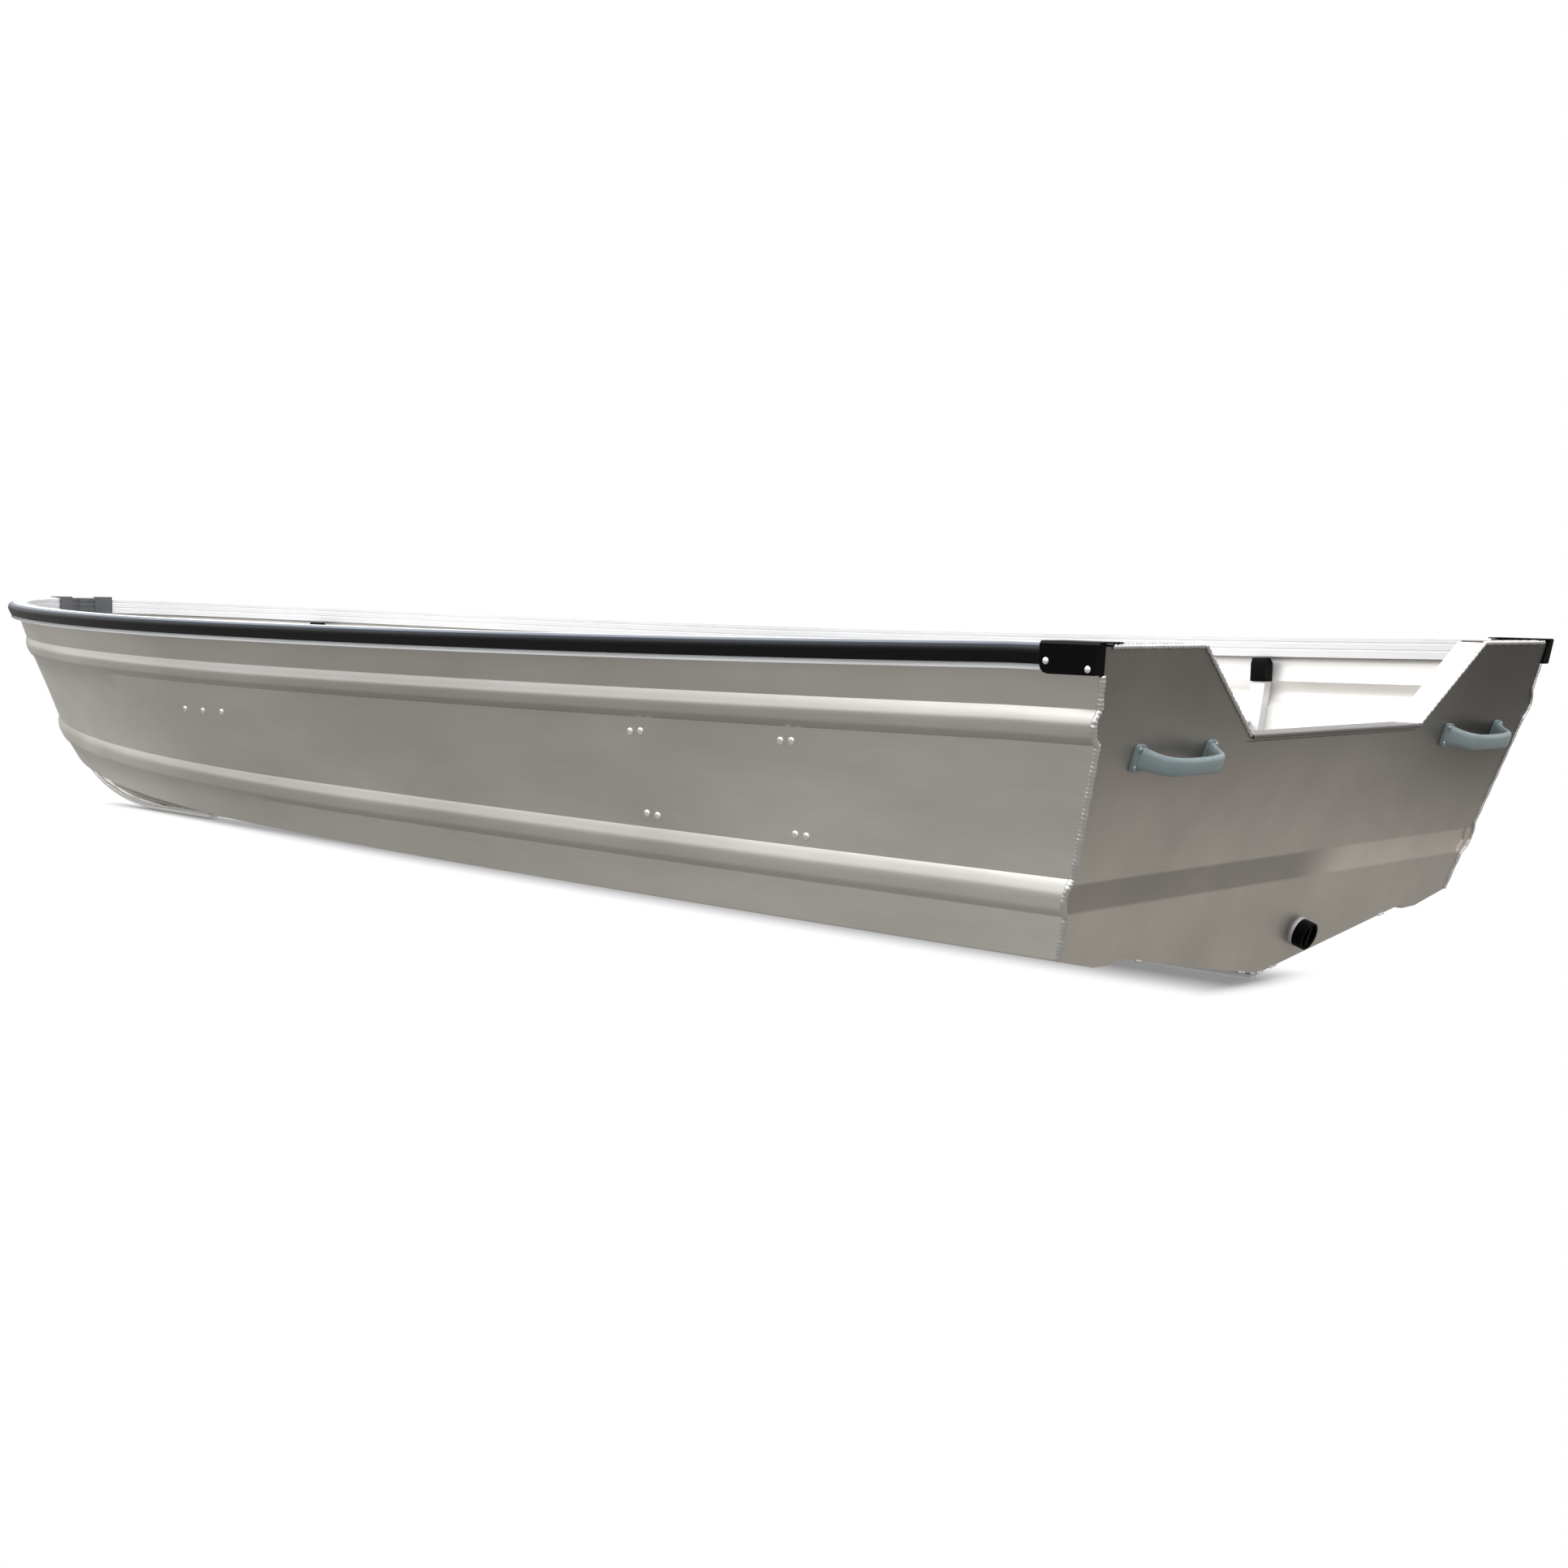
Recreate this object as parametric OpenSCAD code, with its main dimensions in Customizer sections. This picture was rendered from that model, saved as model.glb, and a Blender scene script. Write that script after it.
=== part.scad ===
/* [Hull] */
// Height of the transom's top edge over the keel
depth = 570; // [520:5:620]
// Half breadth of the hull skin at the top edge, at the stern
top_half = 727; // [680:1:780]
// Half breadth of the hull skin at the chine, at the stern
chine_half = 627; // [580:1:680]
// Height of the chine over the keel, at the stern
chine_z = 97; // [80:1:120]
// Where the keel line turns up into the stem, from the transom's foot
foot_x = 3450; // [3200:10:3600]
// Length of the rounded forefoot
fore_len = 425; // [380:5:500]
// Height of the rounded forefoot
fore_h = 220; // [160:10:260]
// Forward lean of the stem from keel to rail
stem_lean = 45; // [20:5:90]
// Thickness of the hull sheet
sheet = 2.5; // [2:0.1:4]
// How far the top edge dips amidships
sheer_dip = 23; // [0:1:50]
// How far the two pressed strakes stand out
strake_out = 13; // [6:1:18]
// Stations along each panel
stations = 34; // [28:1:40]

/* [Transom] */
// Lean of the transom below its fold, in degrees
rake_low = 17.4; // [12:0.1:22]
// Lean of the transom above its fold, in degrees
rake_top = 10.4; // [6:0.1:16]
// Height of the fold, which is also the bottom of the motor notch
fold_z = 425; // [410:1:440]
// Half width of the motor notch at its bottom
notch_half = 278; // [240:1:300]
// Half width of the motor notch at the top edge
notch_top = 466; // [400:1:500]
// Thickness of the outer transom skin
skin = 3; // [2:0.5:5]
// Thickness of the plywood core
core_t = 38; // [30:1:45]
// Height of the middle of the pressed band across the transom
band_z = 192; // [180:1:210]
// Height of the pressed band
band_h = 44; // [30:1:50]
// Depth of the pressed band
band_deep = 3; // [2:0.5:5]
// Thickness of the caps on the transom's edges
cap_t = 2.5; // [2:0.5:4]
// How far the caps reach down over the inner sheet
cap_lip = 12; // [8:1:20]

/* [Rail] */
// Height of the gunwale rail
rail_h = 42; // [36:1:50]
// Width of the gunwale rail inboard of the skin
rail_w = 30; // [24:1:40]
// Wall thickness of the gunwale rail
rail_t = 3; // [2.5:0.5:5]
// Height of the rubber rub rail
rub_h = 31; // [26:1:34]
// How far the rub rail stands out
rub_w = 17; // [12:1:22]
// How far past the last station before the stem the straight rail ends
joint_run = 20; // [12:1:24]
// Length of the sleeve over that joint, measured fore and aft
sleeve_len = 18; // [12:1:22]

/* [Inside] */
// Aft edge of the rear seat
seat_x = 432; // [380:2:460]
// Length of the rear seat, fore and aft
seat_len = 400; // [340:5:430]
// Height of the rear seat's top over the keel
seat_z = 445; // [380:5:455]
// Aft edge of the bow seat
bow_seat_x = 2640; // [2500:10:2750]
// Forward edge of the bow seat
bow_seat_end = 3180; // [3100:10:3250]
// Height of the bow seat's top over the keel
bow_seat_z = 335; // [300:5:360]
// Width of a side post, fore and aft
post_w = 30; // [24:1:46]
// How far a side post stands in from the hull
post_deep = 26; // [22:1:36]
// Distance between the ribs in the bottom
rib_pitch = 430; // [380:5:480]
// Height of the black cap over a side post
post_cap_h = 48; // [30:1:60]
// How many ribs the bottom has
rib_n = 6; // [3:1:6]
// Height of a bottom rib
rib_h = 26; // [18:1:34]

/* [Fittings] */
// Distance between the two feet of a grab handle
handle_gap = 170; // [140:2:190]
// How far a grab handle stands off the transom
handle_off = 46; // [36:1:60]
// Height of a grab handle's feet
foot_h = 42; // [36:1:48]
// Distance from the centre line to a handle's middle, port side
handle_port = 489; // [450:1:510]
// Distance from the centre line to a handle's middle, starboard side
handle_star = 492; // [470:1:510]
// Height of the grab handles' feet over the keel
handle_z = 404; // [380:1:410]
// Distance of the drain from the centre line, to starboard
drain_y = 100; // [80:1:140]
// Height of the drain's middle over the keel
drain_z = 66; // [60:1:100]
// Radius of the drain hole
drain_r = 12.5; // [10:0.5:16]
// Radius of the drain's flange
flange_r = 26.5; // [22:0.5:32]
// Thickness of the bow eye's plate
eye_t = 10; // [8:1:14]
// Radius of the bow eye's opening
eye_r = 11; // [9:0.5:14]
// Height of the bow eye over the keel
eye_z = 330; // [300:5:400]

/* [Hidden] */
$fn = 48;
// Waterline of the empty boat, where the origin lies
water_x = 1900;
water_z = 75;
// Gap kept between curved faces of different pieces
gap = 0.4;

// Distance of the transom's outer face from the transom's foot, at height z
function tx(z) = z <= fold_z ? -z * tan(rake_low)
    : -fold_z * tan(rake_low) - (z - fold_z) * tan(rake_top);
// Horizontal thickness of a sheet t thick in the leaning transom
function lean(t) = t / cos(rake_low);
// Stem profile: distance forward at height z
function stem_x(z) = foot_x
    + fore_len * pow(1 - pow(1 - max(0, min(z, fore_h)) / fore_h, 2.4), 0.48)
    + stem_lean * max(0, z) / depth;

// Lines along the hull, from the keel up to the top edge. Columns: half
// breadth at the stern, height at the stern, height on the stem, start of
// the bow curve, its two powers, dip amidships, bump of a strake and where
// that bump fades (0 keeps it to the bow).
YA = 0; ZA = 1; ZB = 2; XS = 3; PP = 4; QQ = 5; DIP = 6; OUT = 7; FADE = 8;
function side_half(z) = chine_half + (top_half - chine_half) * (z - chine_z) / (depth - chine_z);
function side_line(z, zb, out = 0, fade = 0) =
    let (k = (z - chine_z) / (depth - chine_z))
    [side_half(z), z, zb, 1650 + 500 * k, 2.2 - 0.4 * k, 1.1 + 0.6 * k, sheer_dip * k, out, fade];
ridge_half = chine_half - 104;
step_half = chine_half - 162;
function low_line(y, z, zb, xs, q) = [y, z, zb, xs, 2.2, q, 0, 0, 0];
KEEL = [
    [0, 0, 0, 1300, 2, 1, 0, 0, 0],
    low_line(20, 3.5, 10, 1300, 0.92),
    low_line(160, 28, 34, 1350, 0.95),
    low_line(310, 54, 72, 1400, 0.98),
    low_line(step_half, chine_z - 16, 108, 1500, 1.02),
    low_line(step_half + 10, chine_z - 25, 114, 1505, 1.02),
    low_line(ridge_half, chine_z - 24, 124, 1530, 1.03),
    side_line(chine_z, 158)];
SIDE = [
    side_line(chine_z, 158),
    side_line(165, 200),
    side_line(177, 214, strake_out * 0.75),
    side_line(192, 232, strake_out),
    side_line(208, 248, strake_out * 0.8),
    side_line(224, 262),
    side_line(324, 350),
    side_line(fold_z, 426),
    side_line(fold_z + 10, 436, strake_out * 0.7, 3300),
    side_line(fold_z + 24, 449, strake_out, 3300),
    side_line(fold_z + 38, 463, strake_out * 0.8, 3300),
    side_line(fold_z + 52, 478),
    side_line(depth - 44, 526),
    side_line(depth - 4.4, 565.6)];

// Point on a line at share s of its length from the transom (0) to the stem (1)
function along(s) = sin(90 * s) * 0.62 + s * 0.38;
function sm(t) = t <= 0 ? 0 : t >= 1 ? 1 : t * t * (3 - 2 * t);
// Height and half breadth of a line at distance x, without its bump
function line_z(r, x) =
    let (u = max(0, min(1, x / stem_x(r[ZB]))))
    r[ZA] + (r[ZB] - r[ZA]) * pow(u, 2.6) - r[DIP] * 4 * u * (1 - u);
function line_half(r, x) =
    let (xb = stem_x(r[ZB]), t = max(0, min(1, (x - r[XS]) / (xb - r[XS]))))
    r[YA] * pow(max(0, 1 - pow(t, r[PP])), 1 / r[QQ]);
function bump(r, x) = r[OUT] * (r[FADE] > 0 ? 1 - sm((x - r[FADE]) / 480) : 1);
function pt(r, s) =
    let (xa = tx(r[ZA]) + lean(skin), xb = stem_x(r[ZB]),
        x = xa + (xb - xa) * along(s),
        t = max(0, min(1, (x - r[XS]) / (xb - r[XS]))))
    [x + bump(r, x) * 0.8 * sm((t - 0.7) * 3.4),
     s >= 1 ? 0 : line_half(r, x) + bump(r, x) * (r[YA] > 0 ? 1 - 0.5 * sm((t - 0.7) * 3.4) : 0),
     line_z(r, x)];
// All points of a set of lines, as rows along the hull
function net(rows, n) = [for (r = rows) [for (j = [0:n]) pt(r, j / n)]];
function unit(v) = v / max(norm(v), 1e-6);
// Inward normal at a point of a net. On the centre line it stays in that plane,
// and at the transom it stays in the transom's own plane.
function inward(g, i, j) =
    let (m = len(g) - 1, n = len(g[0]) - 1,
        a = g[min(m, i + 1)][j] - g[max(0, i - 1)][j],
        b = g[i][min(n, j + 1)] - g[i][max(0, j - 1)],
        v = unit(cross(b, a)))
    v;
function all_rows() = concat(KEEL, [for (i = [1:len(SIDE) - 1]) SIDE[i]]);

// Sheet between rows i0 and i1 of the whole net, on the side sgn
module sheet_panel(i0, i1, sgn) {
    n = stations;
    g = net(all_rows(), n);
    rows = [for (i = [i0:i1]) i];
    outer = [for (i = rows) for (j = [0:n]) g[i][j]];
    inner = [for (i = rows) for (j = [0:n])
        let (v = inward(g, i, j),
            rise = i > 0 ? 0 : (g[2][j][2] - g[0][j][2]) / max(1, g[2][j][1]),
            w = j == n ? (i < 6 ? [-1.2, 0, 1.4] : [-1.6, 0, 0.2]) : i == 0 ? [0, 0, min(3, sqrt(1 + rise * rise))] : v,
            q = g[i][j] + w * sheet, z = q[2])
        j == 0 ? [tx(z) + lean(skin), q[1], z] : j == n || i == 0 ? [q[0], 0, z] : [q[0], max(0.1, q[1]), z]];
    m = len(rows); k = n + 1; o = m * k;
    function id(a, b, s) = a * k + b + s * o;
    tris = concat(
        [for (a = [0:m - 2]) for (b = [0:n - 1]) for (f = [[id(a, b, 0), id(a, b + 1, 0), id(a + 1, b + 1, 0)],
            [id(a, b, 0), id(a + 1, b + 1, 0), id(a + 1, b, 0)]]) f],
        [for (a = [0:m - 2]) for (b = [0:n - 1]) for (f = [[id(a, b, 1), id(a + 1, b + 1, 1), id(a, b + 1, 1)],
            [id(a, b, 1), id(a + 1, b, 1), id(a + 1, b + 1, 1)]]) f],
        [for (b = [0:n - 1]) for (e = [[0, 1], [m - 1, 0]]) for (f = e[1] == 1
            ? [[id(e[0], b, 0), id(e[0], b, 1), id(e[0], b + 1, 1)], [id(e[0], b, 0), id(e[0], b + 1, 1), id(e[0], b + 1, 0)]]
            : [[id(e[0], b, 0), id(e[0], b + 1, 1), id(e[0], b, 1)], [id(e[0], b, 0), id(e[0], b + 1, 0), id(e[0], b + 1, 1)]]) f],
        [for (a = [0:m - 2]) for (e = [[0, 0], [n, 1]]) for (f = e[1] == 1
            ? [[id(a, e[0], 0), id(a, e[0], 1), id(a + 1, e[0], 1)], [id(a, e[0], 0), id(a + 1, e[0], 1), id(a + 1, e[0], 0)]]
            : [[id(a, e[0], 0), id(a + 1, e[0], 1), id(a, e[0], 1)], [id(a, e[0], 0), id(a + 1, e[0], 0), id(a + 1, e[0], 1)]]) f]);
    scale([1, sgn, 1]) polyhedron(points = concat(outer, inner),
        faces = tris, convexity = 6);
}

// Half breadth of the hull's outside at distance x and height z
LINES = concat(KEEL, [for (i = [1:len(SIDE) - 1]) SIDE[i]]);
function hull_half(x, z, i = 0) = i >= len(LINES) - 1 ? line_half(LINES[i], x)
    : z <= line_z(LINES[i + 1], x) && i != 4 ? let (a = line_z(LINES[i], x), b = line_z(LINES[i + 1], x),
        k = (z - a) / (b - a)) line_half(LINES[i], x) * (1 - k) + line_half(LINES[i + 1], x) * k
    : hull_half(x, z, i + 1);
// Height of the hull's underside at distance x and half breadth y
function hull_floor(x, y, i = 0) = i >= len(LINES) - 1 ? depth
    : y <= line_half(LINES[i + 1], x) ? let (a = line_half(LINES[i], x), b = line_half(LINES[i + 1], x),
        k = (y - a) / max(0.01, b - a)) line_z(LINES[i], x) * (1 - k) + line_z(LINES[i + 1], x) * k
    : hull_floor(x, y, i + 1);

// Puts an (y, z) outline on edge, thick from x to x + t
module across(x, t) translate([x, 0, 0]) rotate([90, 0, 90]) linear_extrude(t) children();
// Puts an (x, z) outline on edge, wide from -w to w
module along_beam(w) translate([0, w, 0]) rotate([90, 0, 0]) linear_extrude(2 * w) children();
// Moves a piece into the part's frame, with the origin at the waterline
module place() translate([-water_x, 0, -water_z]) children();
module both() { children(); mirror([0, 1, 0]) children(); }

// A profile of [outward, up] points swept along a path of [x, y, z, nx, ny]
// cap lists the triangles that close the ends of a profile with hollows
module sweep(path, prof, cap = []) {
    m = len(prof); n = len(path);
    pts = [for (p = path) for (c = prof) [p[0] + p[3] * c[0], p[1] + p[4] * c[0], p[2] + c[1]]];
    sides = [for (a = [0:n - 2]) for (b = [0:m - 1]) let (c = (b + 1) % m)
        for (f = [[a * m + b, a * m + c, (a + 1) * m + c], [a * m + b, (a + 1) * m + c, (a + 1) * m + b]]) f];
    ends = len(cap) > 0 ? cap : [[for (b = [0:m - 1]) b]];
    polyhedron(points = pts, faces = concat(sides,
        [for (f = ends) [for (k = [len(f) - 1:-1:0]) f[k]]],
        [for (f = ends) [for (k = f) (n - 1) * m + k]]), convexity = 8);
}
// Path along the hull's top edge between two distances, with outward normals
TOP = LINES[len(LINES) - 1];
function edge_pt(x) = [x, line_half(TOP, x), line_z(TOP, x) + 4.4];
function edge_path(xs) = [for (i = [0:len(xs) - 1])
    let (x = xs[i], p = on_run(x), tip = p[1] < 0.5, d = 0.6, e = 1,
        a = edge_pt(x - e), c = edge_pt(min(x + e, BOW_X)), t = c - a, l = norm([t[0], t[1]]))
    tip ? [x, 0, p[2], 1, 0] : [p[0], p[1], p[2], -t[1] / l, t[0] / l]];
BOW_X = stem_x(TOP[ZB]);
// Distances of the hull's own stations along the top edge, from a to b
function at_station(j) = let (a = tx(TOP[ZA]) + lean(skin)) a + (BOW_X - a) * along(j / stations);
function steps(a, b) = concat([a], [for (j = [0:stations]) let (x = at_station(j)) if (x > a + 25 && x < b - 8) x], [b]);
rail_x0 = -62;
joint_x = at_station(stations - 1) + joint_run;
cap_x1 = rail_x0 - gap;
function mirror_path(p) = [for (i = [len(p) - 1:-1:0]) [p[i][0], -p[i][1], p[i][2], p[i][3], -p[i][4]]];

// Gunwale rail: an extruded profile over the hull's top edge, with a channel
// towards the boat, two grooves in its face and a lip that carries the rubber
RAIL = [[3.4, 0], [3.4, -rub_h - 5], [9, -rub_h - 5], [9, -rub_h - 8], [gap, -rub_h - 8], [gap, -rail_t],
    [-rail_w + rail_t, -rail_t], [-rail_w + rail_t, -rail_h + rail_t], [-rail_w + 7, -rail_h + rail_t],
    [-rail_w + 7, -rail_h], [-rail_w, -rail_h], [-rail_w, -28], [-rail_w + 1.2, -27], [-rail_w + 1.2, -25],
    [-rail_w, -24], [-rail_w, -14], [-rail_w + 1.2, -13], [-rail_w + 1.2, -11], [-rail_w, -10],
    [-rail_w, -2], [-rail_w + 2, 0]];
RAIL_ENDS = [[7, 8, 9], [7, 9, 10], [1, 2, 3], [1, 3, 4], [17, 18, 19], [17, 19, 20], [13, 14, 15],
    [7, 10, 11], [13, 15, 16], [7, 11, 12], [16, 17, 20], [7, 12, 13], [6, 7, 13], [6, 13, 16],
    [6, 16, 20], [5, 6, 20], [5, 20, 0], [5, 0, 1], [1, 4, 5]];
RUB = [[3.8, -1.5], [9, -1.5], [13.5, -4], [rub_w - 0.8, -9], [rub_w, -15], [rub_w - 2.5, -21],
    [rub_w - 7, -rub_h], [3.8, -rub_h]];
module side_port() place() color("silver") sheet_panel(7, 20, 1);
module side_starboard() place() color("silver") sheet_panel(7, 20, -1);
module bottom_port() place() color("darkgray") sheet_panel(0, 7, 1);
module bottom_starboard() place() color("darkgray") sheet_panel(0, 7, -1);
module rail_port() place() color("gainsboro") sweep(edge_path(steps(rail_x0, joint_x)), RAIL, RAIL_ENDS);
module rail_starboard() place() color("gainsboro") mirror([0, 1, 0]) sweep(edge_path(steps(rail_x0, joint_x)), RAIL, RAIL_ENDS);
// The bow rail and its sleeves lie level with the tip
function level(p) = [p[0], p[1], edge_pt(BOW_X)[2], p[3], p[4]];
// Bent bow rail between the two joints
module rail_bow() place() color("dimgray") {
    p = [for (e = edge_path(steps(joint_x + gap, BOW_X))) level(e)];
    sweep(concat([for (i = [0:len(p) - 2]) p[i]], mirror_path(p)), RAIL, RAIL_ENDS);
}
// Point on the straight run between two stations of the top edge
function on_run(x, j = 0) = j >= stations - 1 || x <= at_station(j + 1)
    ? let (a = at_station(j), b = at_station(j + 1)) edge_pt(a) + (edge_pt(b) - edge_pt(a)) * (x - a) / (b - a)
    : on_run(x, j + 1);
function run_node(x) = let (t = on_run(x + 1) - on_run(x - 1), l = norm([t[0], t[1]]), p = on_run(x))
    [p[0], p[1], p[2], -t[1] / l, t[0] / l];
// Sleeves over the joints
module rail_sleeves() place() color("dimgray") both()
    sweep([for (k = [-1, 1]) level(run_node(joint_x + k * sleeve_len / 2))],
        [[-rail_w - 1.1, 0.4], [-rail_w - 1.1, -rail_h - 1.6], [-rail_w - 3.4, -rail_h - 1.6],
         [-rail_w - 3.4, 3.4], [3.4, 3.4], [3.4, 0.4]],
        [[0, 1, 2], [0, 2, 3], [0, 3, 4], [0, 4, 5]]);
// Rubber rub rail, in one length round the bow
module rub_rail() place() color("black") {
    p = edge_path(steps(rail_x0, BOW_X));
    sweep(concat([for (i = [0:len(p) - 2]) p[i]], mirror_path(p)), RUB);
}

// Keel strip down the middle of the bottom, outside
module keel() place() color("silver") along_beam(9)
    polygon([[tx(0) + 4, -gap - 6], [foot_x - 260, -gap - 6], [foot_x - 260, -0.6], [tx(0) + 4, -0.6]]);
// Guard round the forefoot: a rounded bar on the stem
GUARD = [[-0.6, -17], [8, -15], [13, -9], [15, 0], [13, 9], [8, 15], [-0.6, 17]];
module stem_guard() place() color("silver") {
    zs = [for (i = [0:13]) 168 * pow(i / 13, 2)];
    pts = concat([[foot_x - 255, 0, 0, -1], [foot_x - 120, 0, 0, -1]], [for (z = zs)
        let (d = 0.5, a = stem_x(max(0, z - d)), b = stem_x(z + d), l = norm([b - a, 2 * d]),
            nx = z == 0 ? 0 : 2 * d / l, nz = z == 0 ? -1 : -(b - a) / l)
        [stem_x(z), z, nx, nz]]);
    m = len(GUARD); n = len(pts);
    polyhedron(points = [for (p = pts) for (c = GUARD) [p[0] + p[2] * (c[0] + 1.2), c[1], p[1] + p[3] * (c[0] + 1.2)]],
        faces = concat([for (a = [0:n - 2]) for (b = [0:m - 1]) let (c = (b + 1) % m)
            for (f = [[a * m + b, (a + 1) * m + c, a * m + c], [a * m + b, (a + 1) * m + b, (a + 1) * m + c]]) f],
            [[for (b = [0:m - 1]) b]], [[for (b = [m - 1:-1:0]) (n - 1) * m + b]]), convexity = 4);
}

band_soft = 6;
// Bent plate of the transom as an (x, z) outline between two depths from its
// outer face. The band is pressed in where jog is true.
TZ = [-20, band_z - band_h / 2 - band_soft, band_z - band_h / 2 + band_soft, band_z + band_h / 2 - band_soft,
    band_z + band_h / 2 + band_soft, fold_z, depth + 30];
module bent_plate(t0, t1, jog0, jog1) along_beam(900) polygon(concat(
    [for (z = TZ) [tx(z) + lean(t0) + (z == TZ[2] || z == TZ[3] ? (jog0 ? band_deep : 0) : 0), z]],
    [for (i = [len(TZ) - 1:-1:0]) let (z = TZ[i])
        [tx(z) + lean(t1) + (z == TZ[2] || z == TZ[3] ? (jog1 ? band_deep : 0) : 0), z]]));
// Outline of the boat across the transom, pulled in by d all round, with the notch
function stern_pts(d) = [for (i = [0:len(LINES) - 1]) if (d == 0 || i < 5 || i > 6) let (p = pt(LINES[i], 0))
    [max(0, p[1] - d * (i < 1 ? 0 : 1)), p[2] + (i < 8 ? d : 0)]];
// Edge of the motor notch at height z
function notch_edge(z) = [notch_half + (notch_top - notch_half) * (z - fold_z) / (depth - fold_z), z];
function stern_side(d, top) = concat([for (c = stern_pts(d)) if (c[1] < top) c],
    [[side_half(top) - d, top], notch_edge(top), [notch_half, fold_z]]);
module stern(d, top) translate([-400, 0, 0]) rotate([90, 0, 90]) linear_extrude(700) {
    h = stern_side(d, top);
    polygon(concat(h, [for (i = [len(h) - 1:-1:1]) [-h[i][0], h[i][1]]]));
}
top_z = depth - cap_t - 1;
module drain_bore(r) translate([tx(drain_z), -drain_y, drain_z]) rotate([0, 90 - rake_low, 0])
    cylinder(h = 160, r = r, center = true);
band_half = side_half(band_z) - 12;
// The pressed length of the band, ended at a slant on both sides
module band_run() across(-400, 700) polygon([for (c = [[-1, -50], [1, -50], [1, 0], [1, 1], [-1, 1], [-1, 0]])
    [c[0] * (band_half - (c[1] == 0 ? 0 : 16)), c[1] == 0 ? band_z : c[1] < 0 ? band_z - 40 : band_z + 40]]);
module transom_skin() place() color("gray") difference() {
    intersection() {
        union() {
            intersection() { bent_plate(0, skin, true, true); band_run(); }
            difference() { bent_plate(0, skin, false, false); band_run(); }
        }
        stern(0, top_z);
    }
    drain_bore(drain_r + 3.5);
}
module transom_core() place() color("burlywood") difference() {
    intersection() { bent_plate(skin, skin + core_t, true, false); stern(4.5, top_z); }
    drain_bore(drain_r + 3.5);
}
module transom_liner() place() color("silver") difference() {
    intersection() { bent_plate(skin + core_t, skin + core_t + 2, false, false); stern(5.5, top_z); }
    drain_bore(drain_r + 3.5);
}
// Strip of the (y, z) plane along the line from p to q, between two distances
// to the right of it
module strip(p, q, d0, d1) {
    l = norm(q - p); v = [q[1] - p[1], p[0] - q[0]] / l;
    translate([-400, 0, 0]) rotate([90, 0, 90]) linear_extrude(700) polygon([p + v * d0, q + v * d0, q + v * d1, p + v * d1]);
}
all_t = skin + core_t + 2;
// Folded strip over an edge of the transom from p to q, flush with the skin
// outside and lapped over the liner inside
module edge_strip(p, q) {
    intersection() { bent_plate(0, all_t + cap_t + 0.2, false, false); strip(p, q, 0.3, cap_t + 0.3); }
    intersection() { bent_plate(all_t + 0.2, all_t + cap_t + 0.2, false, false); strip(p, q, -cap_lip, 0.4); }
}
slant_v = [notch_top - notch_half, depth - fold_z] / norm([notch_top - notch_half, depth - fold_z]);
module top_caps() place() color("silver") both() edge_strip([top_half - 22, top_z], [notch_top + 4, top_z]);
module slant_caps() place() color("white") both()
    edge_strip(notch_edge(top_z) - slant_v * 4, [notch_half, fold_z] + slant_v * 1.2);
// Cap over the bottom of the notch, with a rounded nose in front of the skin
module notch_cap() place() color("gray") {
    x0 = tx(fold_z); a = fold_z + 0.3; b = a + cap_t; low = fold_z - cap_lip;
    t0 = lean(all_t + 0.2); t1 = lean(all_t + cap_t + 0.2);
    along_beam(notch_half - 1.5) polygon([[x0 - 0.4, a], [x0 - 0.4, a - 5], [x0 - 2.4, a - 5.6], [x0 - 4, a - 4.4],
        [x0 - 4.6, a - 2], [x0 - 4, a + 0.6], [x0 - 2.6, a + 2], [x0 - 0.6, b], [x0 + t1, b],
        [tx(low) + t1, low], [tx(low) + t0, low], [x0 + t0, a]]);
}
// Plastic caps over the hull's stern corners, from the rail's end to the transom
module corner_caps() place() color("black") both() {
    x1 = rail_x0 - gap; z0 = depth - 44; z1 = depth + 3; y1 = top_half + rub_w + 1;
    intersection() {
        along_beam(900) polygon([[tx(z0) - 3, z0], [tx(z1) - 3, z1], [x1, z1], [x1, z0 + 14], [x1 - 2, z0 + 7],
            [x1 - 7, z0 + 2], [x1 - 14, z0]]);
        difference() {
            across(-300, 400) polygon([[side_half(z0) + 0.5, z0], [y1 - 2, z0], [y1, z0 + 2], [y1, z1 - 4],
                [y1 - 4, z1], [y1 - 60, z1], [y1 - 60, depth + 0.6], [side_half(depth) + 0.5, depth + 0.6]]);
            across(tx(z0) + 4, x1 - 4 - tx(z0) - 4) polygon([[side_half(z0) - 20, z0 - 1], [y1 - 3.5, z0 - 1],
                [y1 - 3.5, depth - 1], [side_half(depth) - 20, depth - 1]]);
        }
    }
}

// Cast grab handle: a bowed grip on two upright feet. Columns: distance off
// the plate, place along it, half height and half thickness of the bar
GRIP = [[2, 1.1, 19, 8], [9, 1.06, 17.5, 8], [22, 0.98, 15.5, 7.5], [36, 0.89, 15, 7], [44, 0.76, 15, 6.5],
    [47, 0.5, 14, 6.5], [48, 0.2, 13.5, 7]];
GRIP_ALL = concat(GRIP, [for (i = [len(GRIP) - 1:-1:0]) let (r = GRIP[i]) [r[0], -r[1], r[2], r[3]]]);
function grip_dir(i, k) = let (n = len(GRIP_ALL), a = GRIP_ALL[max(0, i - 1)], b = GRIP_ALL[min(n - 1, i + 1)],
    v = [-(b[0] - a[0]) * k, (b[1] - a[1]) * handle_gap / 2]) i == 0 ? [-1, 0] : i == n - 1 ? [1, 0] : v / norm(v);
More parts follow.
